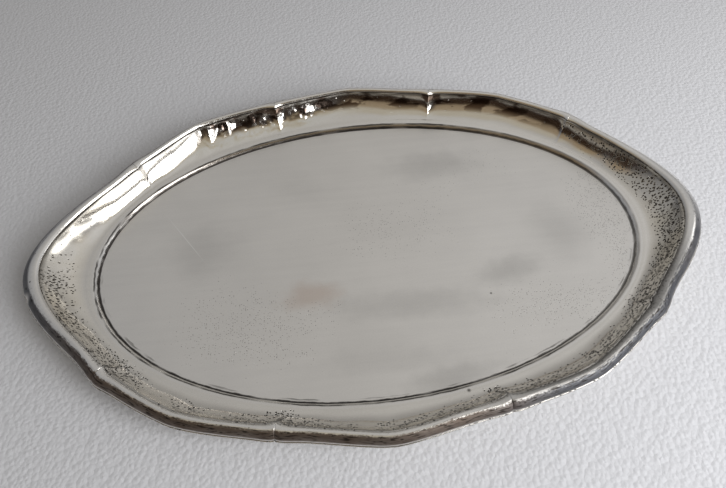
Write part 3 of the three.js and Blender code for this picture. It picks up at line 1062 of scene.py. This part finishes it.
def border_flank(recipe, at, ragged):
    """The dark outer flank: tarnish, and a painted reflection at the ends and near right. It has been
    polished off on the far right.
    """
    width = recipe.plus(FLANK_WIDTH, at.ends, -FLANK_NARROWING)
    past_edge = recipe.math("SUBTRACT", ragged, width)
    return recipe.times(
        recipe.fall(past_edge, 0, FLANK_FADE),
        recipe.rise(at.inset, 0.3, 0.8),
        recipe.rest(at.far_right),
    )


def border_tarnish(recipe, at, ragged):
    """Streaks and pits on the outer slope, and tarnish against the sheet."""
    streaks = recipe.times(
        recipe.rise(recipe.noise(at.rim, **BORDER_STREAKS), 0.5, 0.62),
        recipe.ridge(at.inset, 2.2, 2), at.near, STREAK_SHARE,
    )
    amount = recipe.times(recipe.ridge(at.inset, 2.4, 2.4), MOST_BORDER_PITS)
    pits = recipe.times(recipe.specks(at.rim, amount, **BORDER_PITS), BORDER_PIT_SHARE)
    seam = recipe.times(recipe.rise(ragged, 5, 5.5), at.near, BORDER_SEAM_SHARE)
    return recipe.most(streaks, pits, seam)


def border_material():
    """Old silver with a rubbed crest, tarnish beside the seam, tarnish and a painted blue-grey reflection
    on the outer flank, and painted shade on the near right and right end.
    """
    recipe = Recipe("border_silver")
    at = border_places(recipe)
    ragged = ragged_inset(recipe, at)
    flank = border_flank(recipe, at, ragged)
    rubbed = recipe.blot(at.place, **RUBBED_PATCH)
    tarnish = recipe.times(border_tarnish(recipe, at, ragged), recipe.rest(rubbed))

    # The flank's stain: brown tarnish, and at the ends and near right a painted blue-grey reflection.
    flank_stain_and_reflection = recipe.times(flank, recipe.plus(FLANK_STAIN_AND_REFLECTION, at.mottle, FLANK_STAIN_AND_REFLECTION_SPAN, clamp=True))
    colour = recipe.shade(SILVER, border_tone_and_painted_shade(recipe, at))
    colour = recipe.mix(flank_stain_and_reflection, colour, recipe.mix(at.ends, BROWN, REFLECTED_BLUE_GREY))
    colour = recipe.mix(tarnish, colour, TARNISH_AND_CREASE_SHADE)
    colour = recipe.mix(rubbed, colour, SILVER)

    normal = recipe.bump(recipe.noise(at.rim, **BORDER_HAMMERING), HAMMERED_BORDER)
    normal = recipe.bump(at.grain, BRUSHED, normal)
    normal = recipe.bump(tarnish, -BORDER_PIT, normal)
    dull = recipe.most(tarnish, flank, at.near_right)
    roughness = recipe.plus(BORDER_ROUGHNESS, dull, TARNISH_ROUGHNESS)
    return recipe.finish(colour, recipe.stray(roughness, at.mottle, MOTTLE_ROUGHNESS), normal)


def floor_material():
    """Pale foam board: a faint pattern of beads."""
    recipe = Recipe("pale_floor")
    place = recipe.place()
    beads = recipe.node("ShaderNodeTexVoronoi", feature="F1")
    recipe.put(beads.inputs["Vector"], recipe.vector("MULTIPLY", place, (FLOOR_BEADS_PER_MM,) * 3))
    recipe.put(beads.inputs["Scale"], 1)
    grain = recipe.noise(place, **FLOOR_NOISE)
    colour = recipe.shade(FLOOR_COLOUR, recipe.stray(1, grain, FLOOR_SWING))
    normal = recipe.bump(grain, FLOOR_GRAIN)
    normal = recipe.bump(beads.outputs["Distance"], -FLOOR_BEAD, normal)
    return recipe.finish(colour, FLOOR_ROUGHNESS, normal, metallic=0)


# ---- Floor, light and camera ----

FLOOR_HALF_WIDTH = 3

# The lamps, in metres and watts. One of them doesn't show in the silver.
LAMPS = (
    dict(name="window", position=(0.84, -0.635, 0.57), size=(0.64, 0.95), watts=8.6),
    dict(name="side_window", position=(0.5, -1.0, 0.42), size=(0.12, 0.34), watts=1),
    dict(
        name="daylight", position=(0.48, -0.34, 0.3), target=(0.1, -0.1, 0), size=(0.3, 0.3),
        watts=1.7, colour=(0.94, 0.96, 1), shows=False,
    ),
    dict(
        name="low_window", position=(1.1, -0.08, 0.44), target=(-0.14, 0, 0), size=(0.76, 0.28),
        watts=0.9,
    ),
)

# The sky's colours by height, and across it from left to right.
FRONT_BY_HEIGHT = (
    (0, (0.02, 0.014, 0.01)),
    (0.5, (0.03, 0.02, 0.014)),
    (0.66, (0.26, 0.21, 0.14)),
    (0.8, (0.4, 0.37, 0.31)),
    (0.92, (0.46, 0.455, 0.44)),
)
WARM_FRONT_BY_HEIGHT = (
    (0, (0.02, 0.012, 0.008)),
    (0.3, (0.03, 0.018, 0.011)),
    (0.42, (0.24, 0.185, 0.125)),
    (0.66, (0.28, 0.225, 0.155)),
    (0.8, (0.4, 0.37, 0.31)),
)
BACK_ACROSS = (
    (0, (0.27, 0.275, 0.29)),
    (0.5, (0.415, 0.405, 0.392)),
    (1, (0.66, 0.66, 0.67)),
)
BACK_SHADE_BY_HEIGHT = (
    (0, (0.6, 0.6, 0.6)),
    (0.35, (0.75, 0.75, 0.75)),
    (0.75, (1, 1, 1)),
    (1, (1.05, 1.05, 1.05)),
)
SIDE_SHADE_BY_HEIGHT = (
    (0, (0.2, 0.21, 0.25)),
    (0.14, (0.25, 0.26, 0.3)),
    (0.26, (0.8, 0.8, 0.8)),
    (0.6, (1, 1, 1)),
)

# What shows past the edge of the floor.
BACKDROP = (0.6, 0.61, 0.63)

# How bright the sky is to the rays that silver reflects, and to those that the floor scatters.
DIFFUSE_DIMMING = ((0, (1, 1, 1)), (1, (0.65, 0.65, 0.65)))

# Blends along one axis of the sky, each as a slope and an offset.
TO_LEFT_SIDE = (-3, -1.2)
TO_RIGHT_SIDE = (6, -4.9)
TO_WARM_FRONT = (-5, 0.7)
TO_FRONT = (-3, 0)


def make_floor():
    mesh = bpy.data.meshes.new("floor")
    half = FLOOR_HALF_WIDTH
    corners = [(-half, -half, 0), (half, -half, 0), (half, half, 0), (-half, half, 0)]
    mesh.from_pydata(corners, [], [(0, 1, 2, 3)])
    floor = bpy.data.objects.new("floor", mesh)
    mesh.materials.append(floor_material())
    bpy.context.scene.collection.objects.link(floor)


def make_light(name, position, size, watts, target=(0, 0, 0), colour=(1, 1, 1), shows=True):
    light = bpy.data.lights.new(name, "AREA")
    light.shape = "RECTANGLE"
    light.size, light.size_y = size
    light.energy = watts
    light.color = colour
    lamp = bpy.data.objects.new(name, light)
    lamp.location = position
    lamp.rotation_mode = "QUATERNION"
    lamp.rotation_quaternion = (Vector(target) - Vector(position)).to_track_quat("-Z", "Y")
    lamp.visible_camera = False
    lamp.visible_glossy = shows
    bpy.context.scene.collection.objects.link(lamp)


def make_world():
    """A graded sky to reflect: dark and brown in front, pale behind, and dark low at the sides."""
    world = bpy.data.worlds.new("studio")
    bpy.context.scene.world = world
    world.use_nodes = True
    sky = Tree(world.node_tree)
    x, y, z = sky.split(sky.node("ShaderNodeTexCoord").outputs["Generated"])

    def blend(value, slope, offset):
        return sky.math("MULTIPLY_ADD", value, slope, offset, clamp=True)

    at_side = sky.most(blend(x, *TO_LEFT_SIDE), blend(x, *TO_RIGHT_SIDE))
    shade = sky.mix(at_side, sky.ramp(z, BACK_SHADE_BY_HEIGHT), sky.ramp(z, SIDE_SHADE_BY_HEIGHT))
    across = sky.ramp(sky.math("MULTIPLY_ADD", x, 0.5, 0.5), BACK_ACROSS)
    back = sky.mix(1, across, shade, blend="MULTIPLY")
    warm = blend(x, *TO_WARM_FRONT)
    front = sky.mix(warm, sky.ramp(z, FRONT_BY_HEIGHT), sky.ramp(z, WARM_FRONT_BY_HEIGHT))
    room = sky.mix(blend(y, *TO_FRONT), back, front)

    rays = sky.node("ShaderNodeLightPath").outputs
    room = sky.mix(1, room, sky.ramp(rays["Is Diffuse Ray"], DIFFUSE_DIMMING), blend="MULTIPLY")
    seen = sky.mix(rays["Is Camera Ray"], room, BACKDROP)
    sky.put(sky.tree.nodes["Background"].inputs["Color"], seen)


AIM = Vector((-0.00204, -0.00152, SHEET * MM))
CAMERA_DISTANCE = 0.3012
CAMERA_AZIMUTH = math.radians(-3.53)
CAMERA_ELEVATION = math.radians(54.65)
CAMERA_ROLL = math.radians(3.28)
SENSOR_WIDTH = 36
FOCAL_LENGTH = 27.02


def make_camera():
    camera = bpy.data.cameras.new("camera")
    camera.sensor_width = SENSOR_WIDTH
    camera.lens = FOCAL_LENGTH
    holder = bpy.data.objects.new("camera", camera)
    level = math.cos(CAMERA_ELEVATION)
    back = Vector((
        math.sin(CAMERA_AZIMUTH) * level, -math.cos(CAMERA_AZIMUTH) * level, math.sin(CAMERA_ELEVATION),
    ))
    turn = (-back).to_track_quat("-Z", "Y").to_matrix().to_4x4()
    holder.matrix_world = (
        Matrix.Translation(AIM + back * CAMERA_DISTANCE) @ turn @ Matrix.Rotation(-CAMERA_ROLL, 4, "Z")
    )
    bpy.context.scene.collection.objects.link(holder)
    bpy.context.scene.camera = holder


# ---- The scene ----

lobes = make_lobes()
RIM_LENGTH = sum(lobe.length for lobe in lobes)
make_camera()
make_floor()
make_world()
for lamp in LAMPS:
    make_light(**lamp)
bpy.context.scene.view_settings.view_transform = "Standard"

make_sheet(ring_stations(lobes), sheet_material())
border_silver = border_material()
for lobe in lobes:
    make_border(lobe, border_silver)
